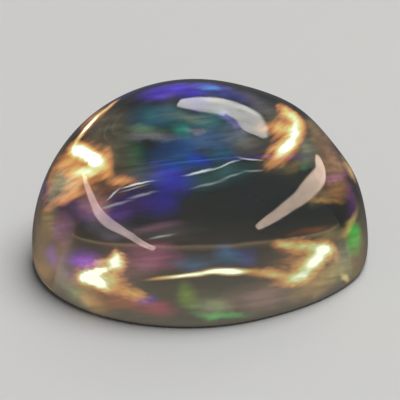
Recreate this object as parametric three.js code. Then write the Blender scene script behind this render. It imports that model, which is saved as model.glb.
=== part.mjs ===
// A water opal cabochon: one loose oval stone with a high dome, a rounded foot edge and a flat polished base.
// Millimetres, +Z up. The origin is the middle of the flat base, +X runs along the length and +Y across the width.

import * as THREE from "three";
import { mergeVertices } from "three/addons/utils/BufferGeometryUtils.js";

// Driving dimensions
const length = 9.6;
const width = 7.7;
const height = 5.2;
const girdleHeight = 0.5; // of the widest section, above the base
const baseShare = 0.98; // the flat base's size, as a share of the girdle's
const apexLean = { x: -0.3, y: 0.3 }; // how far the top of the hand-cut dome stands off the middle

// The hand cut isn't even. Each swell points out from the middle of the base, with its width as an angle,
// and raises the surface there by a share of its distance from that middle.
const swells = [
  { name: "full corner", azimuth: -21, elevation: 0, spread: 8, share: 0.018 },
  { name: "flat side", azimuth: -61, elevation: 0, spread: 15, share: -0.023 },
  { name: "full shoulder", azimuth: 24, elevation: 50, spread: 9, share: 0.02 },
  { name: "end ridge", azimuth: 10, elevation: 22, spread: 7, share: 0.014 },
];

// How finely the surface is faceted
const facetsRound = 96;
const facetsUpDome = 24;
const facetsUpFoot = 4;

const opalMaterial = new THREE.MeshStandardMaterial({
  name: "water_opal",
  color: 0x5a6480,
  roughness: 0.04,
  metalness: 0,
  transparent: true,
  opacity: 0.4,
});

// Half of the stone's section, from the middle of the base to the apex: x is a share of the girdle, y is mm up.
function sectionPoints() {
  const foot = new THREE.EllipseCurve(
    baseShare, girdleHeight, 1 - baseShare, girdleHeight, -Math.PI / 2, 0);
  const dome = new THREE.EllipseCurve(
    0, girdleHeight, 1, height - girdleHeight, 0, Math.PI / 2);
  const domePoints = dome.getPoints(facetsUpDome).slice(1, -1);
  const baseMiddle = new THREE.Vector2(0, 0);
  const apex = new THREE.Vector2(0, height);
  return [baseMiddle, ...foot.getPoints(facetsUpFoot), ...domePoints, apex];
}

// Shifts a point sideways by the dome's lean, which grows towards the apex.
function lean(point) {
  const rise = (point.z / height) ** 2;
  point.x += apexLean.x * rise;
  point.y += apexLean.y * rise;
}

// Moves a point away from the middle of the base, or towards it, by the swells that reach it.
function swell(point) {
  const towards = point.clone().normalize();
  let factor = 1;
  for (const { azimuth, elevation, spread, share } of swells) {
    const middle = new THREE.Vector3().setFromSphericalCoords(
      1, THREE.MathUtils.degToRad(90 - elevation), THREE.MathUtils.degToRad(azimuth));
    const heading = new THREE.Vector3(middle.z, middle.x, middle.y); // from +Y up to +Z up
    const angle = THREE.MathUtils.radToDeg(towards.angleTo(heading));
    factor += share * Math.exp(-0.5 * (angle / spread) ** 2);
  }
  point.multiplyScalar(factor);
}

function opalGeometry() {
  const turned = new THREE.LatheGeometry(sectionPoints(), facetsRound);
  turned.deleteAttribute("normal");
  turned.deleteAttribute("uv");
  turned.rotateX(Math.PI / 2);
  turned.scale(length / 2, width / 2, 1);
  const geometry = mergeVertices(turned);
  const positions = geometry.getAttribute("position");
  const point = new THREE.Vector3();
  for (let i = 0; i < positions.count; i++) {
    point.fromBufferAttribute(positions, i);
    lean(point);
    swell(point);
    positions.setXYZ(i, point.x, point.y, point.z);
  }
  geometry.computeVertexNormals();
  return geometry;
}

const stone = new THREE.Group();
const opal = new THREE.Mesh(opalGeometry(), opalMaterial);
opal.name = "opal";
stone.add(opal);

export default stone;
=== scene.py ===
import math

import bmesh
import bpy
from mathutils import Matrix, Vector
from mathutils.bvhtree import BVHTree


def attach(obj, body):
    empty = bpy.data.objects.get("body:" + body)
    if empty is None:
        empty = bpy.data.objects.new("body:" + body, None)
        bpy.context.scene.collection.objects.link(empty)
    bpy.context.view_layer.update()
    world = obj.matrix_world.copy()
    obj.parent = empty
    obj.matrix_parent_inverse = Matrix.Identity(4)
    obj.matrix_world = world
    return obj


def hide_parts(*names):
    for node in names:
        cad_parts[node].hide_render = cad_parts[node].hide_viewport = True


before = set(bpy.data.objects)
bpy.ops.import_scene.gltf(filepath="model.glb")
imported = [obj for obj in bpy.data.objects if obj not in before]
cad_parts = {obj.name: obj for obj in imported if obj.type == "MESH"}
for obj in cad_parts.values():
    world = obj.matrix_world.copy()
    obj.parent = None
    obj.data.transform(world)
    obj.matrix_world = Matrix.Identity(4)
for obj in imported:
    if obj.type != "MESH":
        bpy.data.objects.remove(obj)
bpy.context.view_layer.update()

mm = 0.001


# A direction as seen from the stone: azimuth from +Y towards +X, elevation above the floor, in degrees.
def towards(azimuth, elevation):
    a, e = math.radians(azimuth), math.radians(elevation)
    return Vector((math.sin(a) * math.cos(e), math.cos(a) * math.cos(e), math.sin(e)))


# One output socket of a shader, so that shader maths is written as plain arithmetic.
class Signal:
    def __init__(self, shader, socket):
        self.shader, self.socket = shader, socket

    def maths(self, operation, first, second=0.0):
        return self.shader.add("ShaderNodeMath", {"operation": operation}, {0: first, 1: second})

    def __add__(self, other):
        return self.maths("ADD", self, other)

    def __radd__(self, other):
        return self.maths("ADD", other, self)

    def __sub__(self, other):
        return self.maths("SUBTRACT", self, other)

    def __rsub__(self, other):
        return self.maths("SUBTRACT", other, self)

    def __mul__(self, other):
        return self.maths("MULTIPLY", self, other)

    def __rmul__(self, other):
        return self.maths("MULTIPLY", other, self)

    def __truediv__(self, other):
        return self.maths("DIVIDE", self, other)

    def __rtruediv__(self, other):
        return self.maths("DIVIDE", other, self)

    def plus(self, other):
        return self.shader.add("ShaderNodeVectorMath", {"operation": "ADD"}, {0: self, 1: other})

    def dot(self, direction):
        return self.shader.add("ShaderNodeVectorMath", {"operation": "DOT_PRODUCT"}, {
            0: self, 1: direction}, output="Value")

    def scaled(self, factor):
        return self.shader.add("ShaderNodeVectorMath", {"operation": "SCALE"}, {0: self, "Scale": factor})

    # A colour as bright as this value, laid over what is there already.
    def timesColour(self, colour, under=None):
        over = self.shader.add("ShaderNodeVectorMath", {"operation": "SCALE"}, {0: colour, "Scale": self})
        return over.plus(under) if under else over


# A node tree that is filled by adding one node at a time. Its settings are set before its sockets.
class Shader:
    def __init__(self, owner):
        owner.use_nodes = True
        self.tree = owner.node_tree
        self.tree.nodes.clear()

    def add(self, kind, settings=None, sockets=None, output=0):
        node = self.tree.nodes.new(kind)
        for name, value in (settings or {}).items():
            if name == "stops":
                self.setStops(node.color_ramp, value)
            else:
                setattr(node, name, value)
        for name, value in (sockets or {}).items():
            if isinstance(value, Signal):
                self.tree.links.new(value.socket, node.inputs[name])
            else:
                node.inputs[name].default_value = value
        if not node.outputs:
            return node
        return Signal(self, node.outputs[output])

    def setStops(self, ramp, stops):
        while len(ramp.elements) < len(stops):
            ramp.elements.new(1.0)
        for element, (place, colour) in zip(ramp.elements, stops):
            element.position = place
            element.color = (*colour, 1.0)


stone = {
    "length": 9.6 * mm, "width": 7.7 * mm, "height": 5.2 * mm,
    "girdleHeight": 0.5 * mm,  # of the widest section, above the base
    "baseShare": 0.98,  # the flat base's size, as a share of the girdle's
    "apexLean": (-0.3 * mm, 0.3 * mm),
    "swells": [  # azimuth from +X towards +Y, elevation, spread, share
        (-21, 0, 8, 0.018), (-61, 0, 15, -0.023), (24, 50, 9, 0.02), (10, 22, 7, 0.014),
    ],
    "stepsRound": 256, "stepsUpDome": 84, "stepsUpFoot": 12, "stepsAcrossBase": 16,
}


# Half of the section, from the middle of the base to the apex: a share of the girdle, and a height.
def sectionOf(cut):
    base, girdle = cut["baseShare"], cut["girdleHeight"]
    points = [(base * k / cut["stepsAcrossBase"], 0.0) for k in range(cut["stepsAcrossBase"])]
    for k in range(cut["stepsUpFoot"]):
        a = math.pi / 2 * (k / cut["stepsUpFoot"] - 1)
        points.append((base + (1 - base) * math.cos(a), girdle * (1 + math.sin(a))))
    for k in range(cut["stepsUpDome"] + 1):
        a = math.pi / 2 * k / cut["stepsUpDome"]
        points.append((math.cos(a), girdle + (cut["height"] - girdle) * math.sin(a)))
    return points


# The uneven hand cut: the dome leans a little, and a few places stand proud or low.
def handCut(point, cut):
    rise = (point.z / cut["height"]) ** 2
    leaned = point + Vector((*cut["apexLean"], 0)) * rise
    factor = 1.0
    for azimuth, elevation, spread, share in cut["swells"]:
        angle = math.degrees(leaned.angle(towards(90 - azimuth, elevation), 0.0))
        factor += share * math.exp(-0.5 * (angle / spread) ** 2)
    return leaned * factor


def makeStone(cut):
    bm = bmesh.new()
    section = sectionOf(cut)
    bottom = bm.verts.new(Vector((0, 0, 0)))
    top = bm.verts.new(handCut(Vector((0, 0, cut["height"])), cut))
    rings = []
    for share, z in section[1:-1]:
        ring = []
        for j in range(cut["stepsRound"]):
            t = 2 * math.pi * j / cut["stepsRound"]
            x, y = cut["length"] / 2 * share * math.cos(t), cut["width"] / 2 * share * math.sin(t)
            ring.append(bm.verts.new(handCut(Vector((x, y, z)), cut)))
        rings.append(ring)
    for j in range(cut["stepsRound"]):
        k = (j + 1) % cut["stepsRound"]
        bm.faces.new((bottom, rings[0][k], rings[0][j]))
        bm.faces.new((top, rings[-1][j], rings[-1][k]))
        for low, high in zip(rings, rings[1:]):
            bm.faces.new((low[j], low[k], high[k], high[j]))
    for face in bm.faces:
        face.smooth = True
    mesh = bpy.data.meshes.new("opal_stone")
    bm.to_mesh(mesh)
    bm.free()
    piece = bpy.data.objects.new("opal_stone", mesh)
    bpy.context.scene.collection.objects.link(piece)
    return piece


opalLook = {
    "ior": 1.45,
    "roughness": {"grain": 2200.0, "least": 0.004, "most": 0.016},
    "ripple": {"grain": 900.0, "detail": 1.0, "height": 0.002 * mm},  # what the hand polish left
    "clearness": 0.975,  # the rest is a milky haze, lit by the room and its soft light
    "haze": {"grain": 0.7, "colours": [(0.71, 0.90, 0.94), (0.90, 0.99, 0.99)]},
    "absorptionColour": (0.50, 0.38, 0.24, 1.0),
    "absorptionDensity": 130.0,
    "warp": {"grain": 620.0, "amount": 0.45 * mm},  # makes the flashes' edges uneven
    # Makes their brightness uneven, in patches and in streaks
    "mottle": {"grain": 900.0, "least": 0.6, "most": 1.35},
    "streaks": {
        "size": (0.8 * mm, 0.8 * mm, 0.12 * mm), "turns": (-31, -6, 0), "grain": 1.0,
        "least": 0.65, "most": 1.35,
    },
    "depth": {"dome": 0.9 * mm, "base": 0.5 * mm, "gold": 0.4 * mm, "silver": 0.2 * mm},
    # The play of colour, painted as a glow in the emission that shines the same under any lamp. Its dim
    # mists, hazes and edge glows are painted light that stands in for the lit haze and the light at the rim.
    # Each flash has its place, width and height in mm, turn in degrees, the share of it that is even, its
    # bend and its colour. Its place is its azimuth and elevation on the dome, or x and y in mm on the base.
    "domeFlashes": {
        "crown violet": (-57.2, 76.2, 1.92, 1.24, -53, 0.1, 0, (0.06, 0.02, 0.42)),
        "crown middle": (-24.3, 84.2, 2.26, 1.35, -54, 0.1, 0, (0.03, 0, 0.27)),
        "crown blue": (46.6, 80.8, 2.16, 1.4, 57, 0.0, 0, (0.04, 0.04, 0.23)),
        "crown cyan": (28.0, 80.6, 0.86, 0.54, 45, 0.1, 0, (0.04, 0.26, 0.55)),
        "crown rim": (3.0, 79.7, 2.61, 0.9, 14, 0.0, 0, (0.06, 0.06, 0.3)),
        "crown right": (76.3, 70.3, 2.27, 1.28, 59, 0.0, 0, (0.06, 0.05, 0.07)),
        "teal cloud": (-111.4, 75.4, 2.51, 1.48, 23, 0.0, 0, (0, 0.07, 0.07)),
        "green line": (-117.1, 68.6, 1.74, 0.55, 21, 0.0, 0, (0.06, 0.1, 0.04)),
        "teal knot": (-147.3, 75.1, 0.84, 0.75, -2, 0.0, 0, (0.01, 0.16, 0.11)),
        "rose line": (-164.7, 76.7, 0.9, 0.34, -5, 0.0, 0, (0.15, 0.12, 0.13)),
        "rose streak": (-126.3, 67.9, 2.28, 0.46, 18, 0.0, 0, (0.1, 0.1, 0.1)),
        "violet cloud": (137.3, 77.0, 1.49, 0.59, -81, 0.0, 0, (0.13, 0.11, 0.32)),
        "blue cloud": (-178.6, 73.5, 2.26, 1.24, -8, 0.0, 0, (0.03, 0.07, 0.15)),
        "grey mist": (-148.8, 81.8, 1.46, 0.62, -9, 0.0, 0, (0.08, 0.08, 0.05)),
        "blue mist": (147.5, 72.1, 1.42, 0.87, -19, 0.0, 0, (0.06, 0.08, 0.1)),
        "slate mist": (-137.2, 56.4, 1.61, 0.87, 10, 0.0, 0, (0.03, 0.04, 0.06)),
        "steel mist": (168.9, 67.1, 1.49, 0.74, -10, 0.0, 0, (0, 0.06, 0.11)),
        "blue shade": (172.7, 80.4, 2.03, 1.11, -19, 0.0, 0, (0.02, 0.09, 0.1)),
        "green spot": (-126.0, 60.2, 1.24, 0.92, -59, 0.0, 0, (0.01, 0.05, 0.02)),
        "olive shade": (-116.5, 56.1, 1.84, 1.5, -30, 0.0, 0, (0.07, 0.06, 0.03)),
        "left grey": (-93.8, 60.2, 2.78, 1.91, -2, 0.0, 0, (0.07, 0.06, 0.04)),
        "blue heart": (-153.2, 63.9, 2.14, 1.07, -4, 0.0, 0, (0, 0.04, 0.14)),
        "bright blue": (-168.4, 65.8, 1.12, 0.66, -14, 0.0, 0, (0, 0.01, 0.21)),
        "blue bridge": (-152.8, 69.3, 1.58, 0.94, -9, 0.0, 0, (0, 0.04, 0.16)),
        "blue heart low": (-153.2, 58.6, 1.91, 1.16, -2, 0.0, 0, (0.01, 0.01, 0.21)),
        "violet left": (-135.5, 45.0, 2.24, 1.35, 6, 0.0, 0, (0.02, 0, 0.07)),
        "teal gleam": (174.1, 60.6, 2.76, 0.98, 4, 0.0, 0, (0.01, 0.06, 0.06)),
        "left rose": (-107.5, 13.7, 1.5, 0.9, 36, 0.0, 0, (0.03, 0, 0.15)),
        "left sand": (-95.2, 35.2, 1.5, 1.61, -81, 0.0, 0, (0.21, 0.19, 0.1)),
        "left sand low": (-100.2, 23.8, 1.83, 1.62, -73, 0.0, 0, (0.15, 0.11, 0.05)),
        "left cream": (-102.6, 39.2, 1.77, 1.01, 41, 0.0, 0, (0.15, 0.19, 0.13)),
        "left mauve": (-109.0, 25.0, 1.48, 1.39, -87, 0.0, 0, (0.13, 0.06, 0.13)),
        "left foot glow": (-119.7, 5.9, 2.23, 1.21, -14, 0.0, 0, (0.12, 0.11, 0.07)),
        "lower right amber": (135.6, 7.9, 2.61, 1.1, 3, 0.0, 0, (0.21, 0.13, 0.04)),
        "lower right cream": (123.3, 7.3, 1.97, 0.96, -15, 0.0, 0, (0.14, 0.13, 0.04)),
        "left haze": (-118.3, 39.0, 1.76, 1.24, 16, 0.0, 0, (0.28, 0.13, 0.1)),
        "low left haze": (-130.4, 34.4, 2.57, 0.85, 1, 0.0, 0, (0.05, 0.04, 0.06)),
        "sand low": (124.2, 22.5, 2.07, 0.73, -24, 0.0, 0, (0.1, 0.07, 0.02)),
        "right grey": (94.7, 67.1, 1.5, 1.49, 69, 0.0, 0, (0.07, 0.07, 0.04)),
        "right dusk": (121.4, 37.7, 1.37, 0.68, -8, 0.0, 0, (0.09, 0.06, 0.03)),
        "right ember": (126.7, 52.6, 1.24, 0.68, -5, 0.0, 0, (0.1, 0.06, 0.02)),
        "left ember": (-123.4, 47.3, 1.13, 0.68, 6, 0.0, 0, (0.1, 0.04, 0.02)),
        "violet mist": (-129.9, 39.7, 1.59, 0.78, 5, 0.0, 0, (0.06, 0.02, 0.13)),
        "left foot sand": (-127.1, 3.7, 1.45, 0.93, -9, 0.0, 0, (0.13, 0.07, 0.01)),
        "left rim lilac": (-117.5, 11.9, 1.7, 0.75, 15, 0.0, 0, (0.07, 0.03, 0.09)),
        "right haze": (137.7, 67.0, 1.94, 1.11, -5, 0.0, 0, (0.07, 0.06, 0.045)),
        "right mist": (109.0, 50.9, 1.95, 1.21, -4, 0.0, 0, (0.11, 0.12, 0.08)),
        "left foot": (-128.4, 4.6, 2.05, 0.83, -9, 0.0, 0, (0.1, 0.03, 0)),
        "green edge": (179.0, 3.8, 2.75, 0.31, -3, 0.0, 0, (0.01, 0.15, 0.03)),
        "right white": (120.6, 3.3, 0.7, 0.39, -36, 0.2, 0, (0.38, 0.29, 0.11)),
        "right slate": (121.5, 12.2, 1.79, 1.12, -36, 0.0, 0, (0.11, 0.12, 0.07)),
        "right green": (112.5, 15.5, 1.3, 1.43, 42, 0.1, 0, (0, 0.28, 0.02)),
        "right violet": (105.4, 27.5, 1.72, 1.14, 40, 0.0, 0, (0.04, 0, 0.06)),
        "right rose": (104.8, 37.2, 2.38, 0.4, -25, 0.0, 0, (0.14, 0.02, 0.12)),
        "right amber": (109.9, 34.6, 2.08, 0.92, -24, 0.0, 0, (0.18, 0.08, 0.02)),
        "right amber line": (120.2, 35.8, 1.98, 0.23, -26, 0.1, 0, (0.17, 0.09, 0.01)),
        "right blush": (100.7, 39.7, 2.67, 1.47, -20, 0.0, 0, (0.31, 0.17, 0.09)),
        "right edge light": (89.7, 29.1, 1.15, 1.17, 64, 0.0, 0, (0.5, 0.3, 0.12)),
        "right teal": (119.0, 49.1, 0.66, 0.5, 1, 0.0, 0, (0, 0.05, 0.02)),
        "sand curve": (113.2, 21.2, 1.96, 0.55, 7, 0.0, -0.3, (0.28, 0.19, 0.05)),
        "right shoulder": (89.2, 46.2, 1.59, 2.33, 65, 0.0, 0, (0.18, 0.11, 0.05)),
    },
    "baseFlashes": {
        "violet heart": (-0.26, 3.01, 1.29, 1.04, 78, 0.0, 0, (0.01, 0, 0.24)),
        "violet foot": (-0.52, 2.54, 1.36, 1.06, 79, 0.0, 0, (0.02, 0, 0.26)),
        "dusk left": (-1.93, 2.38, 1.31, 0.73, 65, 0.0, 0, (0.03, 0.01, 0.2)),
        "grey band": (-0.84, 1.5, 2.74, 0.75, -1, 0.0, 0, (0.06, 0.05, 0.05)),
        "brown streak": (-0.72, 1.75, 1.55, 0.56, 7, 0.0, 0, (0.15, 0.06, 0.12)),
        "red streak": (2.33, 1.11, 0.99, 0.35, 8, 0.0, 0, (0.18, 0.04, 0)),
        "milky veil": (-0.11, 1.03, 5.2, 5.2, -10, 0.2, 0, (0.014, 0.013, 0.014)),
        "lower amber": (-2.3, -1.43, 2.17, 1.9, -42, 0.0, 0, (0.22, 0.04, 0.01)),
        "left violet": (-2.47, 0.68, 1.54, 0.94, 60, 0.0, 0, (0.21, 0.03, 0.51)),
        "left mist": (-1.67, 0.39, 2.06, 2.43, -26, 0.0, 0, (0.18, 0.07, 0.08)),
        "left green": (-3.23, -1.03, 1.19, 0.71, 52, 0.1, 0, (0, 0.1, 0)),
        "violet fleck": (-1.62, -1.47, 1.0, 0.76, 33, 0.1, 0, (0, 0, 0.18)),
        "rose foot": (-1.5, -2.01, 1.63, 1.8, -9, 0.0, 0, (0.22, 0.01, 0.04)),
        "wine cloud": (-0.94, 0.65, 1.75, 1.51, 76, 0.2, 0, (0.2, 0.04, 0.1)),
        "slate band": (-0.18, 0.27, 1.21, 1.07, -10, 0.0, 0, (0.02, 0.08, 0.18)),
        "blue band": (0.54, 0.46, 1.45, 0.94, 87, 0.0, 0, (0.01, 0.12, 0.29)),
        "blue violet band": (0.92, 0.33, 1.43, 0.69, 88, 0.0, 0, (0.02, 0.03, 0.2)),
        "green post": (-0.58, -1.46, 2.32, 0.67, 82, 0.0, 0, (0.1, 0.21, 0)),
        "green foot": (-0.14, -2.05, 1.68, 2.14, -10, 0.0, 0, (0.17, 0.2, 0.1)),
        "beige foot": (1.23, -1.92, 2.77, 2.52, 11, 0.0, 0, (0.2, 0.11, 0.1)),
    },
    # Painted reflections of the lamps as bright silver hairlines, and painted warm caustic light that gathers
    # in the edges:
    # places on the dome, with a brightness instead of a colour. Both are emission, and show on the outside
    # alone.
    "paintedSilverReflections": {
        "left silver foot": (-125.6, 45.5, 0.75, 0.08, 57, 0.0, -0.3, 0.5),
        "left silver": (-135.0, 52.0, 1.38, 0.08, 24, 0.1, -0.15, 0.65),
        "left silver twin": (-134.3, 50.4, 1.27, 0.06, 26, 0.0, -0.1, 0.25),
        "left grey": (-128.3, 42.5, 1.56, 0.14, 31, 0.0, 0.3, 0.22),
        "left grey end": (-139.7, 49.4, 1.2, 0.13, 21, 0.0, -0.2, 0.24),
        "right silver": (-171.7, 61.4, 1.24, 0.12, 9, 0.1, -0.15, 0.6),
        "right silver rise": (167.3, 63.3, 1.19, 0.08, 11, 0.1, 0, 0.45),
        "right silver bow": (148.0, 62.1, 1.0, 0.08, -25, 0.0, -1.4, 0.5),
        "right grey": (-176.8, 57.0, 1.36, 0.12, 10, 0.0, -0.2, 0.2),
        "right grey rise": (166.2, 59.0, 1.12, 0.1, 8, 0.0, 0, 0.2),
        "right grey bow": (150.3, 58.1, 0.91, 0.1, -14, 0.0, -0.6, 0.2),
        "low silver": (-153.9, 37.2, 1.02, 0.1, 17, 0.0, -0.2, 0.24),
    },
    "paintedGoldGlints": {
        "left core": (-93.0, 48.2, 2.49, 0.68, 18, 0.15, 0, 0.82),
        "left core end": (-106.3, 50.9, 1.06, 0.62, 5, 0.15, 0, 0.75),
        "left tail": (-78.4, 52.6, 1.87, 0.46, 131, 0.1, -0.1, 0.9),
        "left tail tip": (-67.0, 59.8, 1.19, 0.43, -23, 0.0, 0, 0.6),
        "left shoulder": (-73.7, 54.1, 2.1, 1.74, -36, 0.0, 0, 0.3),
        "left second": (-103.2, 43.9, 1.6, 0.62, 34, 0.0, 0, 0.42),
        "left second glow": (-109.5, 48.2, 1.67, 0.54, 24, 0.0, 0, 0.36),
        "left halo": (-100.9, 49.5, 3.04, 1.81, 8, 0.0, 0, 0.36),
        "left column": (-113.6, 52.8, 1.6, 0.63, -56, 0.0, 0, 0.28),
        "left foot": (-125.8, 50.8, 2.08, 0.63, 8, 0.0, 0, 0.34),
        "left rose": (-116.0, 44.4, 1.31, 1.06, -12, 0.0, 0, 0.16),
        "left feather": (-105.4, 40.2, 2.29, 1.03, 53, 0.0, 0, 0.41),
        "left low feather": (-104.5, 34.4, 3.03, 0.56, 42, 0.0, 0, 0.34),
        "left rim feather": (-91.8, 28.6, 1.65, 1.87, -81, 0.0, 0, 0.18),
        "left net": (-93.3, 42.8, 1.71, 1.22, 8, 0.0, 0, 0.3),
        "left edge wisp": (-86.5, 38.2, 1.95, 2.02, -75, 0.0, 0, 0.24),
        "right top": (84.0, 59.7, 1.09, 1.4, 59, 0.0, 0, 0.62),
        "right bend": (95.6, 56.5, 2.42, 0.88, -2, 0.0, 0, 0.54),
        "right slope": (107.7, 57.2, 1.4, 0.63, 0, 0.0, 0, 0.3),
        "right core": (118.4, 57.9, 1.33, 0.64, -10, 0.0, 0, 0.5),
        "right halo": (105.8, 59.1, 3.8, 1.56, 8, 0.0, 0, 0.42),
        "right brush": (110.8, 65.5, 1.85, 0.84, -32, 0.0, 0, 0.32),
        "right foot": (127.4, 57.9, 1.91, 0.88, -9, 0.0, 0, 0.36),
        "right foot low": (137.7, 56.7, 1.43, 0.53, -11, 0.0, 0, 0.24),
    },
    # the colour of the painted silver reflections
    "silverColour": (0.88, 0.98, 1.0),
    "reflectionLineWarp": {"grain": 1400.0, "amount": 0.07 * mm},
    # Fibres in the painted gold glints, which lie in layers: the noise's size along and through them, and
    # their turns
    "goldWisps": {
        "size": (0.7 * mm, 0.7 * mm, 0.13 * mm), "turns": (-27.6, -32, 0), "grain": 1.0, "warp": 0.12 * mm,
        "contrast": 0.55,
    },
    # how bright the painted gold glints are
    "goldBrightness": 1.9,
}

# From the dim edge of a warm light to its white middle
goldTones = [
    (0.0, (0.0, 0.0, 0.0)), (0.12, (0.02, 0.009, 0.003)), (0.3, (0.19, 0.075, 0.024)),
    (0.45, (0.32, 0.135, 0.04)), (0.58, (0.34, 0.22, 0.065)), (0.72, (0.36, 0.34, 0.13)),
    (0.86, (0.46, 0.47, 0.28)), (1.0, (0.8, 0.83, 0.71)),
]

# What the noises share. Their values hardly leave the range from low to high.
noises = {"low": 0.3, "high": 0.7, "detail": 4.0, "warpDetail": 5.0, "warpRoughness": 0.6}
rayStart = Vector((0, 0, 0.05 * mm))  # just above the middle of the base


# A stroke's three axes, where it lies square to an outward direction.
def axesOf(outward, degrees):
    around = Vector((0, 0, 1)).cross(outward).normalized()
    up = outward.cross(around)
    t = math.radians(degrees)
    wide = around * math.cos(t) + up * math.sin(t)
    return wide, outward.cross(wide), outward


# Where a direction from the middle of the base meets the dome, and the axes of a stroke that lies there.
def domeFrame(tree, azimuth, elevation, turn):
    middle, normal = tree.ray_cast(rayStart, towards(azimuth, elevation))[:2]
    if normal.dot(middle) < 0:
        normal = -normal
    return middle, axesOf(normal, turn)


# A soft stroke, 1 in its middle and 0 at its edge. Its bend moves its ends to one side.
def makeStroke(shader, place, middle, axes, halves, core, bend):
    offset = shader.add("ShaderNodeVectorMath", {"operation": "SUBTRACT"}, {0: place, 1: middle})
    along, across, through = (offset.dot(axis / half) for axis, half in zip(axes, halves))
    if bend:
        across = across + along * along * bend
    inside = shader.add("ShaderNodeCombineXYZ", sockets={0: along, 1: across, 2: through})
    far = shader.add("ShaderNodeVectorMath", {"operation": "LENGTH"}, {0: inside}, output="Value")
    return shader.add("ShaderNodeMapRange", {"interpolation_type": "SMOOTHSTEP"}, {
        "Value": far, "From Min": 1.0, "From Max": core})


# Moves a place by noise, so that what is drawn there has an uneven edge.
def warpPlace(shader, place, grain, amount, noisePlace=None):
    noise = shader.add("ShaderNodeTexNoise", sockets={
        "Vector": noisePlace or place, "Scale": grain, "Detail": noises["warpDetail"],
        "Roughness": noises["warpRoughness"]}, output="Color")
    return place.plus(noise.scaled(2 * amount)).plus((-amount,) * 3)


# Noise between two values.
def makeNoise(shader, place, grain, least, most):
    noise = shader.add("ShaderNodeTexNoise", sockets={
        "Vector": place, "Scale": grain, "Detail": noises["detail"]})
    return shader.add("ShaderNodeMapRange", sockets={
        "Value": noise, "From Min": noises["low"], "From Max": noises["high"],
        "To Min": least, "To Max": most})


# Places for a noise that lies in thin layers, turned to one side.
def layersIn(shader, place, look):
    return shader.add("ShaderNodeMapping", {"vector_type": "TEXTURE"}, {
        "Vector": place, "Rotation": [math.radians(t) for t in look["turns"]], "Scale": look["size"]})


# Draws fibres in the half bright parts of a glow, and leaves its middle even.
def combed(shader, glow, place, wisps):
    level = glow.maths("MINIMUM", glow, 1.0)
    return glow + level * (1.0 - level) * makeNoise(
        shader, place, wisps["grain"], -wisps["contrast"], wisps["contrast"])


def makeOpalMaterial(look, tree):
    material = bpy.data.materials.new("water_opal")
    shader = Shader(material)
    place = shader.add("ShaderNodeTexCoord", output="Object")

    def strokeOn(layer, spot, thick, where):
        first, second, width, height, turn, core, bend = spot
        halves = (width / 2 * mm, height / 2 * mm, thick)
        if layer == "dome":
            middle, axes = domeFrame(tree, first, second, turn)
        else:
            middle = Vector((first, second, 0)) * mm
            axes = Matrix.Rotation(math.radians(turn), 3, "Z").transposed()
        return makeStroke(shader, where, middle, axes, halves, core, bend)

    depth = look["depth"]
    # Painted glow: the flashes of the play of colour, and dim mists and hazes that stand in for lit haze, all
    # as emission
    clouds = warpPlace(shader, place, look["warp"]["grain"], look["warp"]["amount"])
    paintedGlow = None
    for layer in ("dome", "base"):
        for *spot, colour in look[layer + "Flashes"].values():
            mask = strokeOn(layer, spot, depth[layer], clouds)
            paintedGlow = mask.timesColour(colour, paintedGlow)
    mottle, streaks = look["mottle"], look["streaks"]
    layers = layersIn(shader, place, streaks)
    paintedGlow = paintedGlow.scaled(makeNoise(shader, place, mottle["grain"], mottle["least"], mottle["most"])
                       * makeNoise(shader, layers, streaks["grain"], streaks["least"], streaks["most"]))
    outside = 1.0 - shader.add("ShaderNodeNewGeometry", output="Backfacing")

    def sumOf(spots, thick, where):
        total = 0.0
        for *spot, peak in spots.values():
            total = total + strokeOn("dome", spot, thick, where) * peak
        return total * outside

    # Painted reflections: thin silver lines of emission that stand in for lamps mirrored inside the stone
    reflectionLine = look["reflectionLineWarp"]
    wavy = warpPlace(shader, place, reflectionLine["grain"], reflectionLine["amount"])
    paintedGlow = sumOf(look["paintedSilverReflections"], depth["silver"], wavy).timesColour(look["silverColour"], paintedGlow)
    # Painted glints: warm caustic light painted as emission on the dome, from a dim orange edge to a white
    # middle
    wisps = look["goldWisps"]
    fibres = layersIn(shader, place, wisps)
    ragged = warpPlace(shader, place, wisps["grain"], wisps["warp"], fibres)
    gold = combed(shader, sumOf(look["paintedGoldGlints"], depth["gold"], ragged), fibres, wisps)
    warm = shader.add("ShaderNodeValToRGB", {"stops": goldTones}, {0: gold})
    paintedGlow = paintedGlow.plus(warm.scaled(look["goldBrightness"]))

    haze, ripple, rough = look["haze"], look["ripple"], look["roughness"]
    cloudy = makeNoise(shader, layers, haze["grain"], 0.0, 1.0)
    hazeStops = list(zip((0.0, 1.0), haze["colours"]))
    hazeColour = shader.add("ShaderNodeValToRGB", {"stops": hazeStops}, {0: cloudy})
    swirl = shader.add("ShaderNodeTexNoise", sockets={
        "Vector": place, "Scale": ripple["grain"], "Detail": ripple["detail"]})
    polish = shader.add("ShaderNodeBump", sockets={
        "Height": swirl, "Distance": ripple["height"], "Strength": 1.0})
    body = shader.add("ShaderNodeBsdfPrincipled", sockets={
        "Base Color": hazeColour,
        "Roughness": makeNoise(shader, place, rough["grain"], rough["least"], rough["most"]),
        "IOR": look["ior"],
        "Transmission Weight": look["clearness"],
        "Normal": polish,
        "Emission Color": paintedGlow,
        "Emission Strength": 1.0,
    })
    inner = shader.add("ShaderNodeVolumeAbsorption", sockets={
        "Color": look["absorptionColour"],
        "Density": look["absorptionDensity"],
    })
    shader.add("ShaderNodeOutputMaterial", sockets={"Surface": body, "Volume": inner})
    material.cycles.emission_sampling = "NONE"  # the painted glow of the play of colour, reflections and glints isn't sampled as a lamp
    return material


piece = makeStone(stone)
bpy.context.view_layer.update()
surface = BVHTree.FromObject(piece, bpy.context.evaluated_depsgraph_get())
piece.data.materials.append(makeOpalMaterial(opalLook, surface))
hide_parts("opal")
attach(piece, "root")
print("stone:", len(piece.data.polygons), "faces")

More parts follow.
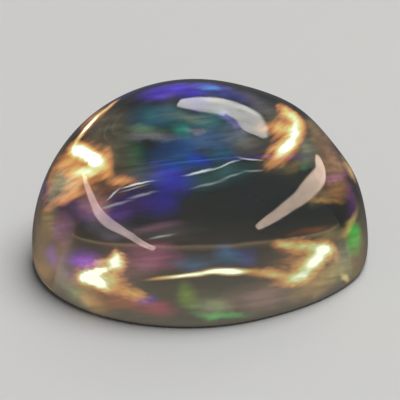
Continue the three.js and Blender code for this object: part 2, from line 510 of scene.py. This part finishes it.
floorLook = {
    "size": 4.0,
    "gap": 0.03 * mm,  # of air under the base, which makes it mirror as a polished base does
    "colour": (0.68, 0.68, 0.67, 1.0),
    "roughness": 0.6,
    "ior": 1.3,
}


def makeFloor(look):
    half = look["size"] / 2
    bm = bmesh.new()
    corners = ((-half, -half), (half, -half), (half, half), (-half, half))
    bm.faces.new([bm.verts.new((x, y, -look["gap"])) for x, y in corners])
    mesh = bpy.data.meshes.new("floor")
    bm.to_mesh(mesh)
    bm.free()
    material = bpy.data.materials.new("pale_floor")
    shader = Shader(material)
    paint = shader.add("ShaderNodeBsdfPrincipled", sockets={
        "Base Color": look["colour"], "Roughness": look["roughness"], "IOR": look["ior"],
    })
    shader.add("ShaderNodeOutputMaterial", sockets={"Surface": paint})
    mesh.materials.append(material)
    floor = bpy.data.objects.new("floor", mesh)
    bpy.context.scene.collection.objects.link(floor)
    floor.visible_transmission = floor.visible_glossy = False  # the stone shows its dim surroundings instead


makeFloor(floorLook)
print("floor:", floorLook["size"], "m wide")

# What the polish mirrors. Each lamp is a bent strip round the stone, given by its azimuth, elevation and half
# width along the way, in degrees.
lamps = {
    "distance": 0.45,
    "stepsBetween": 8,
    "leastHalf": 0.05,
    "across": (-1, -0.5, 0, 0.5, 1),  # where a strip's points lie, as shares of its half width
    "softEdge": 0.35,  # as a share of the half width
    "unevenness": {"grain": 16.0, "least": 0.72, "most": 1.2},
    "strips": {
        "back_lamp": {"brightness": 8.3, "colour": (1.0, 0.98, 0.90), "way": [
            (3, 45, 6.5), (10, 46, 10.5), (20, 46, 13.9), (29, 44, 14.4), (36, 42.7, 12.4), (43, 44, 10.2),
            (51, 46, 8.7), (57, 48, 8.2), (63, 50, 7.3), (67, 51.5, 5.3)]},
        "left_lamp": {"brightness": 9.6, "colour": (1.0, 0.76, 0.72), "way": [
            (-67, 23, 0.8), (-78, 24, 2.0), (-92, 23, 2.7), (-104, 20, 3.6), (-116, 18, 3.9), (-128, 17, 3.0),
            (-138, 15, 2.6), (-147, 12, 2.1), (-153, 11, 1.8)]},
        "right_lamp": {"brightness": 10.5, "colour": (1.0, 0.76, 0.60), "way": [
            (59, 13, 1.5), (65, 14, 3.6), (73, 15.3, 4.1), (84, 18.9, 5.2), (95, 21.6, 5.4), (106, 22.8, 4.8),
            (116, 23.7, 4.3), (127, 23.2, 4.0), (137, 22, 3.4), (146, 20, 2.1)]},
    },
}


# A smooth curve through the stations. Between two of them, the one before and the one after bend it too.
def smoothWay(way, steps):
    line = []
    last = len(way) - 1
    for i in range(last):
        near = (way[max(i - 1, 0)], way[i], way[i + 1], way[min(i + 2, last)])
        for k in range(steps + 1 if i + 1 == last else steps):
            t = k / steps
            weights = (-t + 2 * t**2 - t**3, 2 - 5 * t**2 + 3 * t**3, t + 4 * t**2 - 3 * t**3, -t**2 + t**3)
            line.append([sum(w * value for w, value in zip(weights, values)) / 2 for values in zip(*near)])
    return line


# A strip of faces along the way. Its attribute "inside" is 0 along its edge and 1 in its middle.
def makeStrip(name, way, look):
    bm = bmesh.new()
    rows = []
    line = smoothWay(way, look["stepsBetween"])
    for i, (azimuth, elevation, half) in enumerate(line):
        before, after = line[max(i - 1, 0)], line[min(i + 1, len(line) - 1)]
        middle = towards(azimuth, elevation)
        along = (towards(*after[:2]) - towards(*before[:2])).normalized()
        reach = math.tan(math.radians(max(half, look["leastHalf"])))
        across = middle.cross(along).normalized() * reach
        rows.append([bm.verts.new((middle + side * across) * look["distance"]) for side in look["across"]])
    for low, high in zip(rows, rows[1:]):
        for j in range(len(low) - 1):
            bm.faces.new((low[j], low[j + 1], high[j + 1], high[j]))
    mesh = bpy.data.meshes.new(name)
    bm.to_mesh(mesh)
    bm.free()
    inside = mesh.attributes.new("inside", "FLOAT", "POINT")
    ends = (0, len(rows) - 1)
    inside.data.foreach_set("value", [
        0.0 if i in ends else 1.0 - abs(side) for i in range(len(rows)) for side in look["across"]])
    strip = bpy.data.objects.new(name, mesh)
    bpy.context.scene.collection.objects.link(strip)
    strip.visible_camera = strip.visible_transmission = strip.visible_diffuse = False
    return strip


def makeLamp(name, strip, look):
    lamp = makeStrip(name, strip["way"], look)
    material = bpy.data.materials.new(name)
    shader = Shader(material)
    place = shader.add("ShaderNodeTexCoord", output="Object")
    uneven = makeNoise(shader, place, *look["unevenness"].values())
    inside = shader.add("ShaderNodeAttribute", {"attribute_name": "inside"}, output="Fac")
    soft = shader.add("ShaderNodeMapRange", {"interpolation_type": "SMOOTHSTEP"}, {
        "Value": inside, "From Min": 0.0, "From Max": look["softEdge"]})
    light = shader.add("ShaderNodeEmission", sockets={
        "Color": (*strip["colour"], 1.0), "Strength": uneven * soft * strip["brightness"]})
    shader.add("ShaderNodeOutputMaterial", sockets={"Surface": light})
    lamp.data.materials.append(material)


for name, strip in lamps["strips"].items():
    makeLamp(name, strip, lamps)
print("lamps:", len(lamps["strips"]))

# What is seen through the stone alone: dark surroundings, with a pale band at the height of the lamps and
# warm lights in it.
tent = {
    "radius": 0.6,
    "segments": 48,
    "behind": (0.028, 0.031, 0.031),  # on the near side, towards -Y
    "edge": (-0.05, 0.30),  # where that ends, as a share of the radius
    "tones": [  # on the far side: elevation in degrees, colour
        (-90, (0.02, 0.022, 0.024)), (-12, (0.02, 0.022, 0.024)), (0, (0.05, 0.04, 0.036)),
        (10, (0.17, 0.14, 0.12)), (20, (0.25, 0.21, 0.175)), (29, (0.21, 0.18, 0.15)),
        (34, (0.14, 0.12, 0.105)), (38.0, (0.1, 0.085, 0.075)), (38.6, (0.36, 0.25, 0.16)),
        (39.2, (0.075, 0.06, 0.05)), (45, (0.035, 0.035, 0.033)), (56, (0.03, 0.034, 0.034)),
        (90, (0.03, 0.034, 0.034)),
    ],
    # azimuth, elevation, width and height in degrees, colour
    "glows": {
        "behind right": (142, -4, 44, 30, (0.66, 0.48, 0.34)),
        "behind left": (-128, -5, 44, 24, (0.6, 0.46, 0.33)),
        "right": (75, 27, 44, 32, (0.3, 0.21, 0.15)),
        "left": (-66, 24, 30, 30, (0.24, 0.17, 0.1)),
        "side right": (104, 27, 64, 34, (0.15, 0.13, 0.11)),
        "side left": (-100, 27, 60, 34, (0.15, 0.13, 0.11)),
    },
    # azimuth, elevation, width, height and turn in degrees, the share that is even, bend, brightness
    "goldLights": {
        "left top": (31.4, 34.6, 9.2, 6.1, -12, 0.15, 0, 0.9),
        "left tip": (32.7, 36.7, 5.1, 3.8, -27, 0.0, 0, 0.42),
        "left spur": (37.0, 34.0, 11.4, 2.8, 12, 0.0, 0, 0.5),
        "left bridge": (37.3, 31.8, 13.5, 3.5, 19, 0.1, 0, 0.75),
        "left core": (42.5, 29.0, 15.0, 5.6, 10, 0.2, 0, 0.85),
        "left core foot": (37.3, 28.3, 13.6, 4.4, -7, 0.1, 0, 0.66),
        "left tail": (28.9, 28.1, 22.3, 7.2, -7, 0.0, 0, 0.36),
        "left tail end": (23.7, 27.3, 10.2, 4.5, -6, 0.0, 0, 0.28),
        "left fringe": (41.6, 29.2, 33.8, 13.6, 9, 0.0, 0, 0.46),
        "left notch": (32.8, 30.8, 13.7, 6.2, 7, 0.0, 0, 0.36),
        "right bar": (-21.5, 36.2, 26.8, 6.4, -12, 0.0, 0, 0.52),
        "right bar start": (-13.8, 37.5, 8.4, 4.0, -9, 0.0, 0, 0.4),
        "right bar head": (-34.2, 34.1, 18.1, 7.1, -10, 0.0, 0, 0.58),
        "right diagonal": (-28.2, 31.8, 19.1, 8.1, 8, 0.0, 0, 0.58),
        "right slope": (-20.4, 29.3, 20.1, 9.3, 18, 0.0, 0, 0.52),
        "right low fringe": (-15.5, 27.4, 18.1, 5.5, 0, 0.0, 0, 0.4),
        "right haze": (-23.5, 32.1, 41.2, 18.9, 4, 0.0, 0, 0.36),
        "right wisps": (-38.3, 30.2, 16.6, 10.7, -15, 0.0, 0, 0.24),
        "left wisp": (-8.2, 30.7, 17.2, 3.7, -18, 0.0, 0, 0.52),
    },
    "clearLines": {  # the same, with clean edges
        "front line": (11.0, 32.4, 23.6, 1.5, 6, 0.15, -0.25, 1.0),
        "front line head": (1.8, 32.6, 12.8, 2.4, -7, 0.1, -0.3, 1.2),
    },
    "goldBrightness": 2.8,
    "wisps": {"size": (0.02, 0.02, 0.005), "turns": (0, 0, 0), "grain": 1.0, "warp": 0.008, "contrast": 0.55},
}


def makeTent(look):
    bm = bmesh.new()
    segments = look["segments"]
    bmesh.ops.create_uvsphere(bm, u_segments=segments, v_segments=segments, radius=look["radius"])
    mesh = bpy.data.meshes.new("dark_tent")
    bm.to_mesh(mesh)
    bm.free()
    material = bpy.data.materials.new("dark_tent")
    shader = Shader(material)
    place = shader.add("ShaderNodeTexCoord", output="Object")
    height = shader.add("ShaderNodeSeparateXYZ", sockets={0: place}, output="Z")
    lift = height / look["radius"] * 0.5 + 0.5
    stops = [(0.5 + 0.5 * math.sin(math.radians(elevation)), colour) for elevation, colour in look["tones"]]
    far = shader.add("ShaderNodeValToRGB", {"stops": stops}, {0: lift})
    ahead = shader.add("ShaderNodeSeparateXYZ", sockets={0: place}, output="Y") / look["radius"]
    share = shader.add("ShaderNodeMapRange", {"interpolation_type": "SMOOTHSTEP"}, {
        "Value": ahead, "From Min": look["edge"][0], "From Max": look["edge"][1]})
    seen = shader.add("ShaderNodeMix", {"data_type": "RGBA"}, {
        0: share, 6: (*look["behind"], 1.0), 7: far}, output=2)

    def strokeAt(azimuth, elevation, width, tall, turn, core, bend, where):
        outward = towards(azimuth, elevation)
        halves = [look["radius"] * math.radians(size / 2) for size in (width, tall)] + [look["radius"] / 2]
        middle = outward * look["radius"]
        return makeStroke(shader, where, middle, axesOf(outward, turn), halves, core, bend)

    for azimuth, elevation, width, tall, colour in look["glows"].values():
        seen = strokeAt(azimuth, elevation, width, tall, 0, 0.0, 0, place).timesColour(colour, seen)
    wisps = look["wisps"]
    fibres = layersIn(shader, place, wisps)
    ragged = warpPlace(shader, place, wisps["grain"], wisps["warp"], fibres)
    gold = 0.0
    for *spot, peak in look["goldLights"].values():
        gold = gold + strokeAt(*spot, ragged) * peak
    gold = combed(shader, gold, fibres, wisps)
    for *spot, peak in look["clearLines"].values():
        gold = gold + strokeAt(*spot, place) * peak
    warm = shader.add("ShaderNodeValToRGB", {"stops": goldTones}, {0: gold})
    seen = seen.plus(warm.scaled(look["goldBrightness"]))
    light = shader.add("ShaderNodeEmission", sockets={"Color": seen, "Strength": 1.0})
    shader.add("ShaderNodeOutputMaterial", sockets={"Surface": light})
    material.cycles.emission_sampling = "NONE"
    mesh.materials.append(material)
    hood = bpy.data.objects.new("dark_tent", mesh)
    bpy.context.scene.collection.objects.link(hood)
    hood.visible_camera = hood.visible_diffuse = hood.visible_glossy = hood.visible_shadow = False


makeTent(tent)
print("tent:", len(tent["goldLights"]) + len(tent["clearLines"]), "warm lights")

# The light of the room, and one soft light overhead that the polish doesn't mirror.
room = {
    "colour": (0.12, 0.115, 0.11, 1.0),
    "softLight": {"place": (0.25, 0.1, 0.8), "size": 0.7, "power": 6.6},
}


def makeRoom(look):
    soft = look["softLight"]
    data = bpy.data.lights.new("soft_light", "AREA")
    data.shape, data.size, data.energy = "DISK", soft["size"], soft["power"]
    light = bpy.data.objects.new("soft_light", data)
    light.location = soft["place"]
    light.rotation_euler = Vector(soft["place"]).to_track_quat("Z", "Y").to_euler()
    light.visible_glossy = light.visible_transmission = light.visible_camera = False
    bpy.context.scene.collection.objects.link(light)
    world = bpy.data.worlds.new("room")
    bpy.context.scene.world = world
    shader = Shader(world)
    sky = shader.add("ShaderNodeBackground", sockets={"Color": look["colour"], "Strength": 1.0})
    shader.add("ShaderNodeOutputWorld", sockets={"Surface": sky})


makeRoom(room)

# The camera stands where the photograph was taken from.
view = {
    "azimuth": -8.3, "elevation": 31.6,  # of the camera as seen from the stone, from -Y towards +X
    "distance": 200 * mm, "aim": (0, 0, 1.854 * mm),
    "lens": 633.4, "sensor": 36.0,
    "near": 0.01, "far": 20.0,
}


def makeCamera(look):
    data = bpy.data.cameras.new("camera")
    data.lens, data.sensor_width = look["lens"], look["sensor"]
    data.clip_start, data.clip_end = look["near"], look["far"]
    camera = bpy.data.objects.new("camera", data)
    bpy.context.scene.collection.objects.link(camera)
    back = towards(180 - look["azimuth"], look["elevation"])
    camera.location = Vector(look["aim"]) + back * look["distance"]
    camera.rotation_euler = back.to_track_quat("Z", "Y").to_euler()
    bpy.context.scene.camera = camera


makeCamera(view)
print("camera:", view["distance"], "m away")

scene = bpy.context.scene
scene.view_settings.view_transform = "Standard"
scene.cycles.max_bounces = 14
scene.cycles.transmission_bounces = 14
scene.cycles.glossy_bounces = 12
scene.cycles.caustics_refractive = False
scene.cycles.caustics_reflective = False
scene.cycles.use_denoising = True

print("scene is ready")
